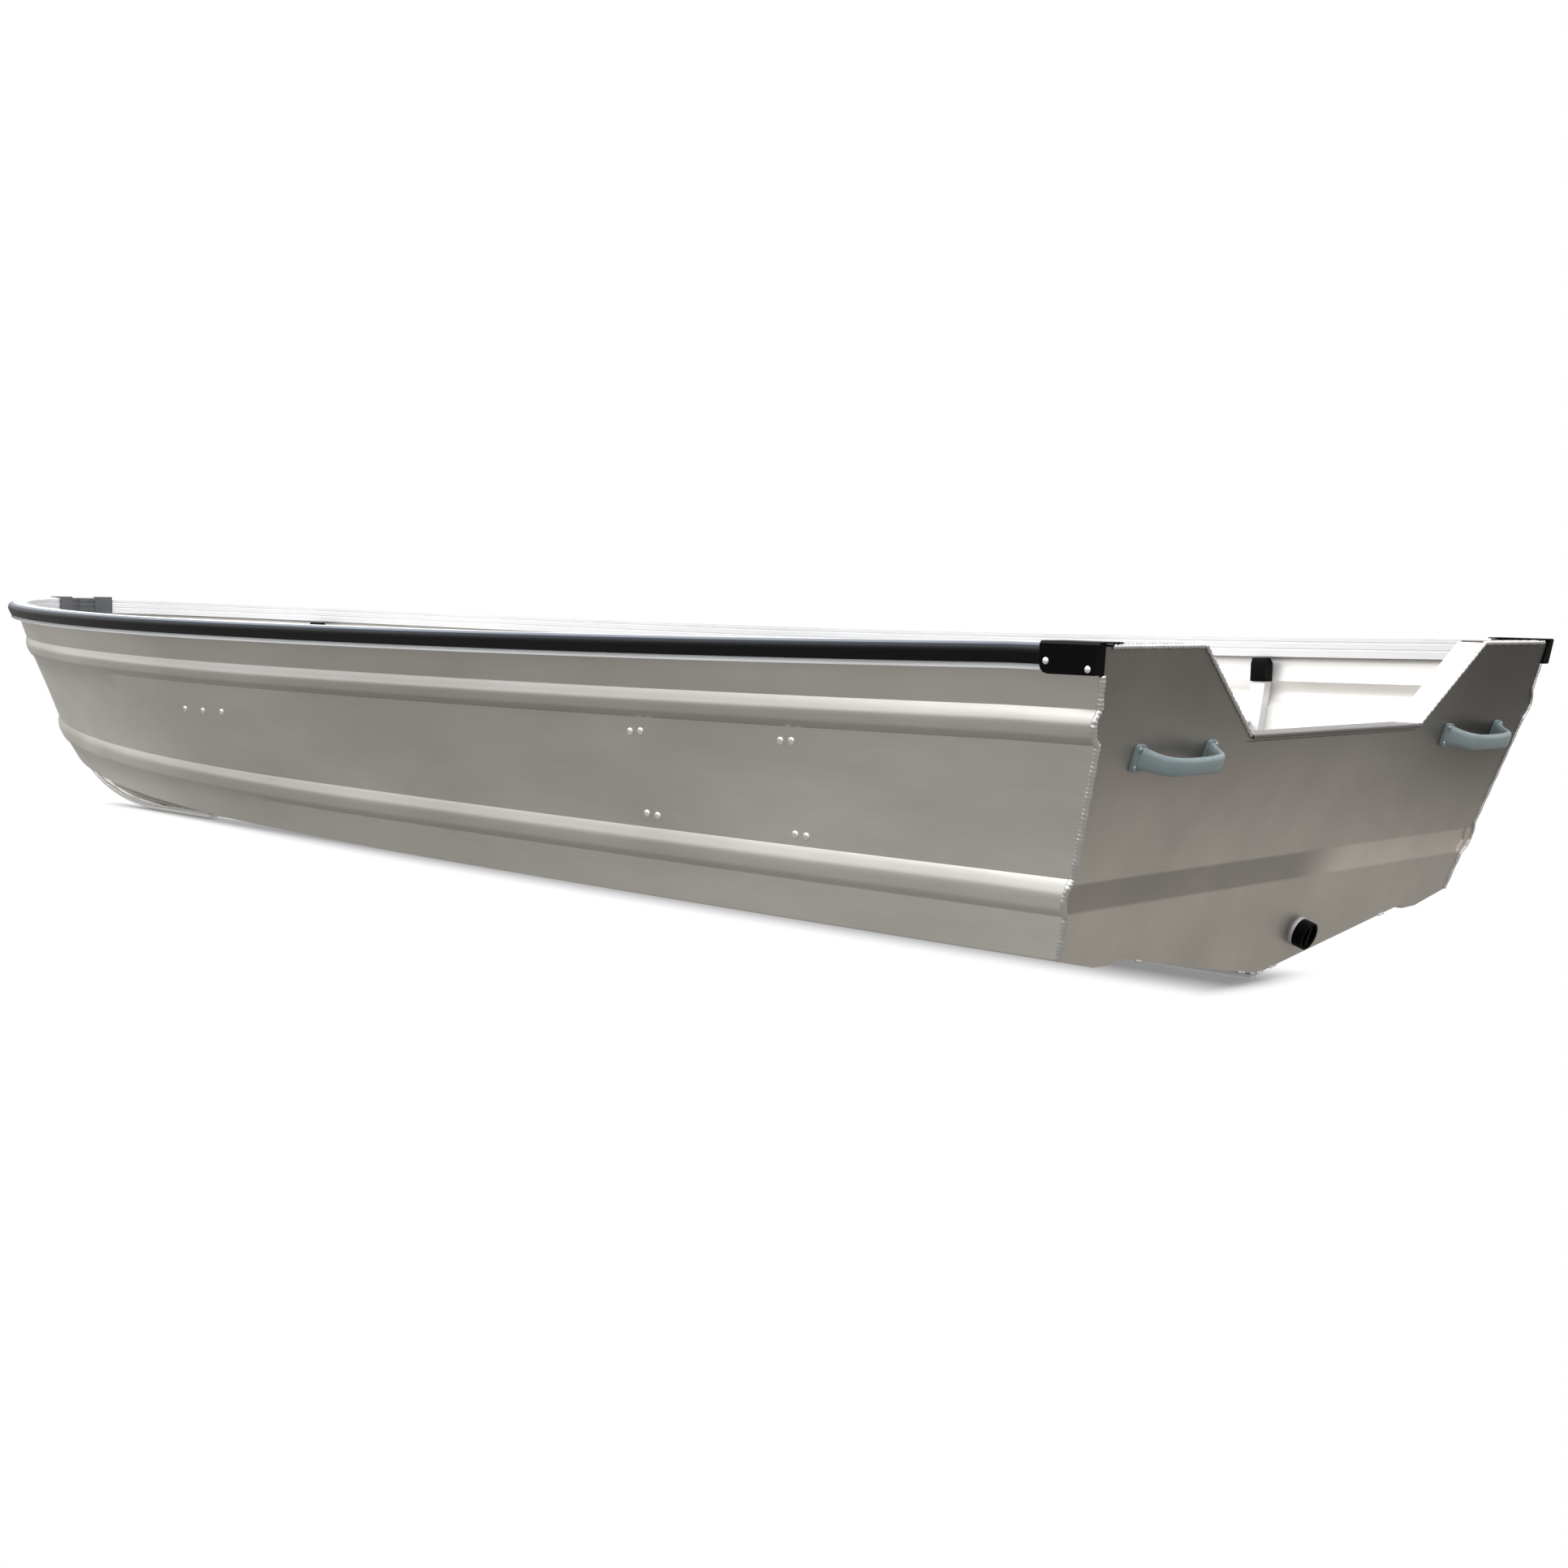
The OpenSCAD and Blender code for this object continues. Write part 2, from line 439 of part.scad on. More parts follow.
module grip_bar() {
    n = len(GRIP_ALL); m = 16; k = handle_off / 48;
    pts = [for (i = [0:n - 1]) let (r = GRIP_ALL[i], d = grip_dir(i, k)) for (j = [0:m - 1])
        let (u = cos(360 * j / m), v = sin(360 * j / m), c = sign(u) * pow(abs(u), 0.7), w = sign(v) * pow(abs(v), 0.7))
        [-r[0] * k + d[1] * c * r[3], r[1] * handle_gap / 2 - d[0] * c * r[3], w * r[2]]];
    polyhedron(points = pts, faces = concat([for (i = [0:n - 2]) for (j = [0:m - 1]) let (q = (j + 1) % m)
        for (f = [[i * m + j, i * m + q, (i + 1) * m + q], [i * m + j, (i + 1) * m + q, (i + 1) * m + j]]) f],
        [[for (j = [m - 1:-1:0]) j]], [[for (j = [0:m - 1]) (n - 1) * m + j]]), convexity = 4);
}
module grab_handle(y) translate([tx(handle_z), y, handle_z]) rotate([0, -rake_low, 0]) {
    grip_bar();
    for (s = [-1, 1]) translate([-0.2, s * handle_gap * 0.57, 0]) rotate([0, -90, 0]) linear_extrude(6)
        polygon([for (c = [[1, 0.6], [0.9, 0.9], [0.7, 1], [-0.7, 1], [-0.9, 0.9], [-1, 0.6], [-1, -0.6], [-0.9, -0.9],
            [-0.7, -1], [0.7, -1], [0.9, -0.9], [1, -0.6]]) [c[0] * foot_h / 2, c[1] * 12]]);
}
module handle_port_cast() place() color("lightsteelblue") grab_handle(handle_port);
module handle_starboard_cast() place() color("lightsteelblue") grab_handle(-handle_star);
// Drain: a tube through the transom with a flange, and its screwed plug
module at_drain() translate([tx(drain_z), -drain_y, drain_z]) rotate([0, -90 - rake_low, 0]) children();
module drain_flange() place() color("silver") at_drain() difference() {
    union() {
        translate([0, 0, 0.2]) cylinder(h = 3, r = flange_r);
        translate([0, 0, -46]) cylinder(h = 48, r = drain_r + 3);
    }
    translate([0, 0, -50]) cylinder(h = 60, r = drain_r);
}
module drain_plug() place() color("black") at_drain() {
    difference() {
        translate([0, 0, 3.2]) cylinder(h = 19, r = flange_r - 1.5);
        translate([0, 0, 16]) cylinder(h = 10, r = flange_r - 6);
    }
    translate([2 - flange_r / 2 - 7, -4, 15]) cube([flange_r + 10, 8, 6]);
    translate([0, 0, -30]) cylinder(h = 34, r = drain_r - gap);
}

// Rear seat: a folded box with rounded shoulders and two end panels
seat_half = 560;
module shoulder(d) {
    r = 45 - d;
    translate([seat_half - 45, seat_z - 45]) circle(r);
    translate([0, seat_z - 45 - r]) square([seat_half - 45, 2 * r]);
    translate([0, 150]) square([seat_half - d, seat_z - 45 - 150]);
}
module seat_outline(d) { shoulder(d); mirror([1, 0]) shoulder(d); }
module seat_low(x) polygon(concat([for (i = [0:12]) let (y = -600 + 100 * i)
    [y, hull_floor(x, abs(y)) + sheet + rib_h + 6]], [[600, 800], [-600, 800]]));
module rear_seat() place() color("gainsboro") {
    across(seat_x + 2, seat_len - 4) intersection() {
        difference() { seat_outline(0); seat_outline(2.5); translate([-700, 0]) square([1400, 140]); }
        seat_low(seat_x + seat_len / 2);
    }
    for (x = [seat_x, seat_x + seat_len - 2.5]) across(x, 2.5) intersection() {
        seat_outline(0);
        seat_low(x);
    }
}
// A side post from z0 to z1 and the distance it leaves to the hull
module post(x, z0, z1, w = post_w) for (s = [0, 1]) mirror([0, s, 0]) difference() {
    across(x, w) polygon([[hull_half(x + w / 2, z0) - sheet - 1, z0], [hull_half(x + w / 2, z1) - sheet - 1, z1],
        [hull_half(x + w / 2, z1) - sheet - post_deep, z1], [hull_half(x + w / 2, z0) - sheet - post_deep, z0]]);
    across(x + 3, w - 6) polygon([for (c = [[3, z0 - 1], [3, z1 + 1], [post_deep - 3, z1 + 1], [post_deep - 3, z0 - 1]])
        [hull_half(x + w / 2, c[1]) - sheet - c[0] - 1, c[1]]]);
}
REAR_POSTS = [seat_x - post_w - 1, seat_x + seat_len + 1];
function post_top(x) = line_z(TOP, x + post_w / 2) - rail_h - post_cap_h + 2;
module rear_frames() place() color("gainsboro") {
    for (x = REAR_POSTS) post(x, 130, post_top(x));
    both() for (z = [seat_z - 60, 170]) across(seat_x - 12, seat_len + 24)
        polygon([[seat_half + 0.4, z], [hull_half(600, z) - sheet - post_deep + 12, z],
            [hull_half(600, z + 4) - sheet - post_deep + 12, z + 4], [seat_half + 0.4, z + 4]]);
}
module post_cap(x, z) both() across(x - 2, post_w + 4) polygon([for (c = [[2, 0], [2, 0.8], [12, 1],
    [post_deep - 2, 1], [post_deep + 4, 0.75], [post_deep + 4, 0]])
    [hull_half(x, z) - sheet - c[0], z + 0.2 + c[1] * (post_cap_h - 0.4)]]);
module post_caps() place() color("black") for (x = REAR_POSTS) post_cap(x, post_top(x));
// Bow seat: a flat sheet cut to the hull with a folded aft edge
module bow_seat() place() color("gainsboro") {
    n = 8;
    translate([0, 0, bow_seat_z]) linear_extrude(2.5) polygon(concat(
        [for (i = [0:n]) let (x = bow_seat_x + (bow_seat_end - bow_seat_x) * i / n) [x, hull_half(x, bow_seat_z) - sheet - 3.5]],
        [for (i = [n:-1:0]) let (x = bow_seat_x + (bow_seat_end - bow_seat_x) * i / n) [x, -hull_half(x, bow_seat_z) + sheet + 3.5]]));
    for (x = [bow_seat_x, bow_seat_end - 2.5]) across(x, 2.5) polygon(concat(
        [for (i = [0:12]) let (w = hull_half(x, 150) - 60, y = -w + w * i / 6)
            [y, hull_floor(x, abs(y)) + sheet + 5.5]],
        [[hull_half(x, bow_seat_z) - 16, bow_seat_z + 0.5], [-hull_half(x, bow_seat_z) + 16, bow_seat_z + 0.5]]));
}
BOW_POST = 3300;
module bow_frames() place() color("gainsboro") both() for (k = [0, 1]) let (x = BOW_POST + k * 40 + 4,
    t = post_top(BOW_POST), zs = [for (i = [0:8]) 190 + (t - 190) * i / 8])
    across(x - 4, 4) polygon(concat([for (z = zs) [hull_half(x, z) - sheet - 2, z]],
        [[hull_half(x, t) - sheet - post_deep - 2, t], [hull_half(x, 190) - sheet - post_deep - 2, 190]]));
module bow_post_caps() place() color("black") both() across(BOW_POST - 2, 48)
    polygon([for (c = [[3, 0], [3, 0.7], [12, 1], [post_deep, 1], [post_deep + 6, 0.75], [post_deep + 6, 0]])
        [hull_half(BOW_POST + 46, post_top(BOW_POST)) - sheet - c[0], post_top(BOW_POST) + 0.2 + c[1] * (post_cap_h - 0.4)]]);
// Ribs across the bottom
module ribs() place() color("gainsboro") for (i = [0:rib_n - 1]) let (x = 260 + i * rib_pitch, w = line_half(LINES[4], x) - 12)
    across(x, 28) polygon(concat([for (k = [-8:8]) let (y = w * k / 8) [y, hull_floor(x + 14, abs(y)) + sheet + 0.8 + max(0, i - 3)]],
        [for (k = [8:-1:-8]) let (y = w * k / 8) [y, hull_floor(x + 14, abs(y)) + sheet + 0.8 + max(0, i - 3) + rib_h * (abs(k) == 8 ? 0.3 : 1)]]));
// Knee plate that braces the transom to the bottom
module transom_knee() place() color("silver") along_beam(3) polygon([
    [tx(20) + lean(skin + core_t + 2) + 0.3, 20], [250, 20], [tx(fold_z - 40) + lean(skin + core_t + 2) + 0.3, fold_z - 40]]);
// Bow eye: a plate with a bored eye, on a round base against the stem
module bow_eye() place() color("silver") translate([stem_x(eye_z) + 1.8, 0, eye_z]) {
    rotate([0, 90, 0]) cylinder(h = 6, r = 20);
    difference() {
        translate([0, eye_t / 2, 0]) rotate([90, 0, 0]) linear_extrude(eye_t) {
            translate([eye_r + 14, 0]) circle(eye_r + 8);
            translate([3, -eye_r - 5]) square([eye_r + 8, 2 * eye_r + 10]);
        }
        translate([eye_r + 14, 0, 0]) rotate([90, 0, 0]) cylinder(h = 60, r = eye_r, center = true);
    }
}

side_port();
side_starboard();
bottom_port();
bottom_starboard();
keel();
stem_guard();
transom_skin();
transom_core();
transom_liner();
top_caps();
slant_caps();
notch_cap();
rail_port();
rail_starboard();
rail_bow();
rail_sleeves();
rub_rail();
corner_caps();
handle_port_cast();
handle_starboard_cast();
drain_flange();
drain_plug();
rear_seat();
rear_frames();
post_caps();
bow_seat();
bow_frames();
bow_post_caps();
ribs();
transom_knee();
bow_eye();
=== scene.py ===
import math
import bpy
from mathutils import Matrix, Vector
from mathutils.bvhtree import BVHTree


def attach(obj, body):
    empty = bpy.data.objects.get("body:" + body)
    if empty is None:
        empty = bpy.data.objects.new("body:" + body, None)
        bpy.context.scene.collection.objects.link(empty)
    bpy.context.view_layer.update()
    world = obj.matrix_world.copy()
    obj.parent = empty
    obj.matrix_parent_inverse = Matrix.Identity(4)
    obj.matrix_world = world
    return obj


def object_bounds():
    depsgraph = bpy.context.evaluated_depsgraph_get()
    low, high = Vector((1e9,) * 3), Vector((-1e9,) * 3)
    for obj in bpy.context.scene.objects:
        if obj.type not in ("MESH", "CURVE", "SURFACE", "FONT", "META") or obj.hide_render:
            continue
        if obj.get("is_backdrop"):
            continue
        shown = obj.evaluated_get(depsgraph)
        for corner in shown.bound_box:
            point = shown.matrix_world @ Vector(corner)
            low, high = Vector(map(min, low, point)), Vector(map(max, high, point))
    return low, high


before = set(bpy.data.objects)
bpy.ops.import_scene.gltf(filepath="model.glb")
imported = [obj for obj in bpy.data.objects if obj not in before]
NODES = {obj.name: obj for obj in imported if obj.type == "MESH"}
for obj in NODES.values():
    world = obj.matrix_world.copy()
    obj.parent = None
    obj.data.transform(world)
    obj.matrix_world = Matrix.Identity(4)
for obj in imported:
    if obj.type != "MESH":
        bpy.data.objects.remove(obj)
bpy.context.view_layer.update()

COLOR, FLOAT = "NodeSocketColor", "NodeSocketFloat"
# The record's frame has its origin at the waterline. These bring over sizes
# measured from the transom's foot.
WATER_X, WATER_Z = 1.9, 0.075
FLOOR_Z = -WATER_Z - 0.017
RAKE_LOW, RAKE_TOP, FOLD_Z = math.radians(17.4), math.radians(10.4), 0.425
DRAIN = (-0.1, 0.066)
HANDLES = ((0.489, 0.404), (-0.492, 0.404))
HANDLE_GAP, FOOT_OUT = 0.170, 0.0062


def at(x, y, z):
    return Vector((x - WATER_X, y, z - WATER_Z))


def transom_x(z):
    if z <= FOLD_Z:
        return -z * math.tan(RAKE_LOW)
    return -FOLD_Z * math.tan(RAKE_LOW) - (z - FOLD_Z) * math.tan(RAKE_TOP)


# Materials
def new_group(name, inputs, outputs):
    g = bpy.data.node_groups.new(name, "ShaderNodeTree")
    for n, kind, default in inputs:
        s = g.interface.new_socket(name=n, in_out="INPUT", socket_type=kind)
        s.default_value = default
    for n, kind in outputs:
        g.interface.new_socket(name=n, in_out="OUTPUT", socket_type=kind)
    a = g.nodes.new("NodeGroupInput")
    b = g.nodes.new("NodeGroupOutput")
    return g, a, b


def node(tree, kind, **values):
    n = tree.nodes.new(kind)
    for k, v in values.items():
        if k in n.inputs:
            n.inputs[k].default_value = v
        else:
            setattr(n, k, v)
    return n


def math_node(tree, op, a, b=None, clamp=False):
    n = tree.nodes.new("ShaderNodeMath")
    n.operation = op
    n.use_clamp = clamp
    for i, v in enumerate((a, b)):
        if v is None:
            continue
        if hasattr(v, "is_linked"):
            tree.links.new(v, n.inputs[i])
        else:
            n.inputs[i].default_value = v
    return n.outputs[0]


def ramp(tree, value, stops):
    n = tree.nodes.new("ShaderNodeValToRGB")
    n.color_ramp.elements[0].position, n.color_ramp.elements[0].color = stops[0][0], (*stops[0][1], 1)
    n.color_ramp.elements[1].position, n.color_ramp.elements[1].color = stops[-1][0], (*stops[-1][1], 1)
    for p, c in stops[1:-1]:
        n.color_ramp.elements.new(p).color = (*c, 1)
    tree.links.new(value, n.inputs[0])
    return n.outputs[0]


def sheet_group():
    """Mill finish of rolled sheet: soft clouds and fine lines along the boat."""
    g, a, b = new_group("mill_finish",
        [("Light", COLOR, (0.6, 0.6, 0.6, 1)), ("Dark", COLOR, (0.4, 0.4, 0.4, 1)),
         ("Rough", FLOAT, 0.4)],
        [("Color", COLOR), ("Roughness", FLOAT), ("Height", FLOAT)])
    co = node(g, "ShaderNodeTexCoord").outputs["Object"]
    lines = node(g, "ShaderNodeMapping", Scale=(1.2, 60, 60))
    g.links.new(co, lines.inputs["Vector"])
    fine = node(g, "ShaderNodeTexNoise", Scale=9.0, Detail=6.0, Roughness=0.7)
    g.links.new(lines.outputs[0], fine.inputs["Vector"])
    cloud_map = node(g, "ShaderNodeMapping", Scale=(0.55, 1.6, 1.6))
    g.links.new(co, cloud_map.inputs["Vector"])
    cloud = node(g, "ShaderNodeTexNoise", Scale=4.0, Detail=5.0, Roughness=0.55)
    g.links.new(cloud_map.outputs[0], cloud.inputs["Vector"])
    grain = node(g, "ShaderNodeTexNoise", Scale=700.0, Detail=2.0)
    g.links.new(co, grain.inputs["Vector"])
    mixed = math_node(g, "ADD", math_node(g, "MULTIPLY", fine.outputs[0], 0.35),
                      math_node(g, "MULTIPLY", cloud.outputs[0], 0.65))
    k = node(g, "ShaderNodeMapRange", **{"From Min": 0.32, "From Max": 0.68})
    g.links.new(mixed, k.inputs["Value"])
    mix = g.nodes.new("ShaderNodeMix")
    mix.data_type = "RGBA"
    g.links.new(k.outputs[0], mix.inputs["Factor"])
    g.links.new(a.outputs["Dark"], mix.inputs["A"])
    g.links.new(a.outputs["Light"], mix.inputs["B"])
    g.links.new(mix.outputs["Result"], b.inputs["Color"])
    rough = math_node(g, "ADD", a.outputs["Rough"], math_node(g, "MULTIPLY", cloud.outputs[0], 0.12))
    g.links.new(rough, b.inputs["Roughness"])
    g.links.new(math_node(g, "ADD", math_node(g, "MULTIPLY", fine.outputs[0], 0.6),
                          math_node(g, "MULTIPLY", grain.outputs[0], 0.4)), b.inputs["Height"])
    return g


def plain_group():
    """Even finish of castings, plastic and rubber, with a fine grain."""
    g, a, b = new_group("even_finish",
        [("Base", COLOR, (0.5, 0.5, 0.5, 1)), ("Rough", FLOAT, 0.5),
         ("Grain", FLOAT, 400.0)],
        [("Color", COLOR), ("Roughness", FLOAT), ("Height", FLOAT)])
    co = node(g, "ShaderNodeTexCoord").outputs["Object"]
    n = node(g, "ShaderNodeTexNoise", Detail=3.0)
    g.links.new(co, n.inputs["Vector"])
    g.links.new(a.outputs["Grain"], n.inputs["Scale"])
    wide = node(g, "ShaderNodeTexNoise", Scale=14.0, Detail=3.0)
    g.links.new(co, wide.inputs["Vector"])
    hsv = g.nodes.new("ShaderNodeHueSaturation")
    g.links.new(a.outputs["Base"], hsv.inputs["Color"])
    value = math_node(g, "ADD", math_node(g, "MULTIPLY", wide.outputs[0], 0.24), 0.88)
    g.links.new(value, hsv.inputs["Value"])
    g.links.new(hsv.outputs[0], b.inputs["Color"])
    g.links.new(math_node(g, "ADD", a.outputs["Rough"], math_node(g, "MULTIPLY", wide.outputs[0], 0.1)),
                b.inputs["Roughness"])
    g.links.new(n.outputs[0], b.inputs["Height"])
    return g


def tone_group():
    """Painted light and shade on a sheet over its height and length, with a painted reflection on the transom's
    pressed band.

    Low and High hold at the heights Start and End over the keel. The other inputs are factors
    for painted light and shade at the stern, the bow, on faces that look up or down, and towards the upper
    starboard corner.
    """
    g, a, b = new_group("sheet_tone",
        [("Color", COLOR, (0.5, 0.5, 0.5, 1)), ("Low", FLOAT, 1.0), ("High", FLOAT, 1.0),
         ("Start", FLOAT, 0.08), ("End", FLOAT, 0.50), ("Band", FLOAT, 0.0), ("Stern", FLOAT, 1.0),
         ("Bow", FLOAT, 1.0), ("Ledge", FLOAT, 1.0), ("Under", FLOAT, 1.0), ("Starboard", FLOAT, 1.0)],
        [("Color", COLOR)])
    co = node(g, "ShaderNodeTexCoord")
    sep = node(g, "ShaderNodeSeparateXYZ")
    g.links.new(co.outputs["Object"], sep.inputs[0])
    x, y, z = (sep.outputs[k] for k in "XYZ")

    def smooth(value, low, high, to_low, to_high):
        m = node(g, "ShaderNodeMapRange", interpolation_type="SMOOTHSTEP")
        g.links.new(value, m.inputs["Value"])
        for key, v in (("From Min", low), ("From Max", high), ("To Min", to_low), ("To Max", to_high)):
            if hasattr(v, "is_linked"):
                g.links.new(v, m.inputs[key])
            else:
                m.inputs[key].default_value = v
        return m.outputs[0]

    over_keel = math_node(g, "ADD", z, WATER_Z)
    from_foot = math_node(g, "ADD", x, WATER_X)
    # Painted reflection and shade: brightness goes from Low to High over the height
    height = smooth(over_keel, a.outputs["Start"], a.outputs["End"], a.outputs["Low"], a.outputs["High"])
    # 1 inside the band, with soft edges. Across the band the code paints shade to port and a highlight to
    # starboard.
    off = math_node(g, "ABSOLUTE", math_node(g, "SUBTRACT", over_keel, 0.192))
    inside = smooth(off, 0.026, 0.020, 0.0, 1.0)
    across = smooth(y, 0.02, -0.22, -0.34, 0.30)
    band = math_node(g, "MULTIPLY", math_node(g, "MULTIPLY", inside, across), a.outputs["Band"])
    # Painted light and shade on faces that look up or down, such as the two flanks of a strake
    turn = node(g, "ShaderNodeSeparateXYZ")
    g.links.new(co.outputs["Normal"], turn.inputs[0])
    tilt = turn.outputs["Z"]
    # Painted shade towards the upper starboard corner
    corner = math_node(g, "MULTIPLY", smooth(y, 0.05, -0.62, 0.0, 1.0),
                       smooth(over_keel, 0.10, 0.44, 0.0, 1.0))
    starboard_shade = math_node(g, "MULTIPLY", corner, math_node(g, "SUBTRACT", a.outputs["Starboard"], 1.0))
    # Painted light and shade at the stern and the bow, multiplied with the rest
    total = height
    for factor in (math_node(g, "ADD", band, 1.0),
                   smooth(from_foot, 0.1, 1.3, a.outputs["Stern"], 1.0),
                   smooth(from_foot, 2.1, 3.0, 1.0, a.outputs["Bow"]),
                   smooth(tilt, 0.05, 0.35, 1.0, a.outputs["Ledge"]),
                   smooth(tilt, -0.45, -0.65, 1.0, a.outputs["Under"]),
                   math_node(g, "ADD", starboard_shade, 1.0)):
        total = math_node(g, "MULTIPLY", total, factor)
    scale = node(g, "ShaderNodeVectorMath", operation="SCALE")
    g.links.new(a.outputs["Color"], scale.inputs[0])
    g.links.new(total, scale.inputs["Scale"])
    g.links.new(scale.outputs[0], b.inputs["Color"])
    return g


def inner_group():
    """Mask that is 1 on those faces of a side sheet that look inboard, which get a painted highlight."""
    g, a, b = new_group("inboard_mask", [("Sharpness", FLOAT, 20.0)], [("Mask", FLOAT)])
    co = node(g, "ShaderNodeTexCoord")
    place, turn = node(g, "ShaderNodeSeparateXYZ"), node(g, "ShaderNodeSeparateXYZ")
    g.links.new(co.outputs["Object"], place.inputs[0])
    g.links.new(co.outputs["Normal"], turn.inputs[0])
    side = math_node(g, "SIGN", place.outputs["Y"])
    inward = math_node(g, "MULTIPLY", math_node(g, "MULTIPLY", side, turn.outputs["Y"]), -1.0)
    g.links.new(math_node(g, "MULTIPLY", inward, a.outputs["Sharpness"], clamp=True), b.inputs["Mask"])
    return g


def sheen_group():
    """Black rubber with a painted blue-grey reflection on its upward faces."""
    g, a, b = new_group("top_sheen",
        [("Under", COLOR, (0, 0, 0, 1)), ("Over", COLOR, (0.1, 0.1, 0.1, 1))],
        [("Color", COLOR)])
    sep = node(g, "ShaderNodeSeparateXYZ")
    g.links.new(node(g, "ShaderNodeTexCoord").outputs["Normal"], sep.inputs[0])
    up = node(g, "ShaderNodeMapRange", interpolation_type="SMOOTHSTEP",
              **{"From Min": 0.15, "From Max": 0.95})
    g.links.new(sep.outputs["Z"], up.inputs["Value"])
    mix = g.nodes.new("ShaderNodeMix")
    mix.data_type = "RGBA"
    g.links.new(up.outputs[0], mix.inputs["Factor"])
    g.links.new(a.outputs["Under"], mix.inputs["A"])
    g.links.new(a.outputs["Over"], mix.inputs["B"])
    g.links.new(mix.outputs["Result"], b.inputs["Color"])
    return g


SHEET = sheet_group()
PAINTED_LIGHT = tone_group()
INNER = inner_group()
SHEEN = sheen_group()
EVEN = plain_group()


def surface(name, group, values, metallic, bump, coat=0.0, specular=0.5,
            tone=None, sheen=None, inner=None):
    """Material over a finish group. The inboard colour is a painted highlight on a sheet's inboard faces: a
    lighter copy of the sheet with less metal.
    """
    m = bpy.data.materials.new(name)
    m.use_nodes = True
    t = m.node_tree
    p = t.nodes["Principled BSDF"]
    p.inputs["Metallic"].default_value = metallic
    p.inputs["Coat Weight"].default_value = coat
    p.inputs["Specular IOR Level"].default_value = specular
    g = t.nodes.new("ShaderNodeGroup")
    g.node_tree = group
    for k, v in values.items():
        g.inputs[k].default_value = v
    color = g.outputs["Color"]
    # Painted light and shade over the finish
    if tone:
        k = t.nodes.new("ShaderNodeGroup")
        k.node_tree = PAINTED_LIGHT
        t.links.new(color, k.inputs["Color"])
        for key, v in tone.items():
            k.inputs[key].default_value = v
        color = k.outputs["Color"]
    # Painted reflection on upward faces
    if sheen:
        k = t.nodes.new("ShaderNodeGroup")
        k.node_tree = SHEEN
        t.links.new(color, k.inputs["Under"])
        k.inputs["Over"].default_value = sheen
        color = k.outputs["Color"]
    # Painted highlight: inboard faces get a lighter colour and less metal
    if inner:
        k = t.nodes.new("ShaderNodeGroup")
        k.node_tree = INNER
        mix = t.nodes.new("ShaderNodeMix")
        mix.data_type = "RGBA"
        t.links.new(k.outputs["Mask"], mix.inputs["Factor"])
        t.links.new(color, mix.inputs["A"])
        mix.inputs["B"].default_value = inner
        color = mix.outputs["Result"]
        m_mix = node(t, "ShaderNodeMapRange", **{"To Min": metallic, "To Max": 0.35})
        t.links.new(k.outputs["Mask"], m_mix.inputs["Value"])
        t.links.new(m_mix.outputs[0], p.inputs["Metallic"])
    t.links.new(color, p.inputs["Base Color"])
    t.links.new(g.outputs["Roughness"], p.inputs["Roughness"])
    b = node(t, "ShaderNodeBump", Strength=bump, Distance=0.001)
    t.links.new(g.outputs["Height"], b.inputs["Height"])
    t.links.new(b.outputs[0], p.inputs["Normal"])
    return m


def rgb(r, g, b):
    return (r, g, b, 1.0)


def sheet(name, light, dark, rough, metallic, bump, **more):
    values = {"Light": rgb(*light), "Dark": rgb(*dark), "Rough": rough}
    return surface(name, SHEET, values, metallic, bump, **more)


def even(name, base, rough, grain, metallic, bump, **more):
    values = {"Base": rgb(*base), "Rough": rough, "Grain": grain}
    return surface(name, EVEN, values, metallic, bump, **more)


# Painted light and shade on the hull sheet: brightened most low down, at the stern and at the bow, darker on
# faces that look up or down, lighter on its inboard faces
HULL = sheet("hull_sheet", (0.55, 0.54, 0.51), (0.45, 0.44, 0.41), 0.26, 0.96, 0.03,
             tone={"Low": 1.24, "High": 1.08, "Stern": 1.18, "Bow": 1.40, "Ledge": 0.64, "Under": 0.72},
             inner=rgb(0.70, 0.69, 0.67))
BOTTOM = sheet("bottom_sheet", (0.60, 0.58, 0.54), (0.50, 0.48, 0.44), 0.34, 0.95, 0.03)
# Painted light and shade on the transom: lighter low down, darker high up and towards the upper starboard
# corner, with painted reflection on the pressed band
TRANSOM = sheet("transom_sheet", (0.46, 0.432, 0.395), (0.37, 0.348, 0.318), 0.33, 0.94, 0.03,
                tone={"Low": 1.42, "High": 0.54, "Start": 0.20, "End": 0.56, "Band": 1.0,
                      "Starboard": 0.40})
TOPS = sheet("top_strip", (0.17, 0.16, 0.155), (0.12, 0.112, 0.108), 0.42, 0.85, 0.03)
BRIGHT = sheet("bright_sheet", (0.62, 0.62, 0.66), (0.55, 0.55, 0.59), 0.40, 0.55, 0.02)
GUARD = sheet("stem_bar", (0.93, 0.93, 0.92), (0.86, 0.86, 0.85), 0.28, 0.15, 0.02)
INSIDE = sheet("inside_sheet", (0.66, 0.63, 0.58), (0.56, 0.535, 0.50), 0.42, 0.6, 0.02)
POSTS = sheet("post_extrusion", (0.66, 0.66, 0.67), (0.58, 0.58, 0.59), 0.40, 0.5, 0.02)
RAIL = sheet("rail_extrusion", (0.72, 0.73, 0.745), (0.64, 0.65, 0.67), 0.34, 0.65, 0.02)
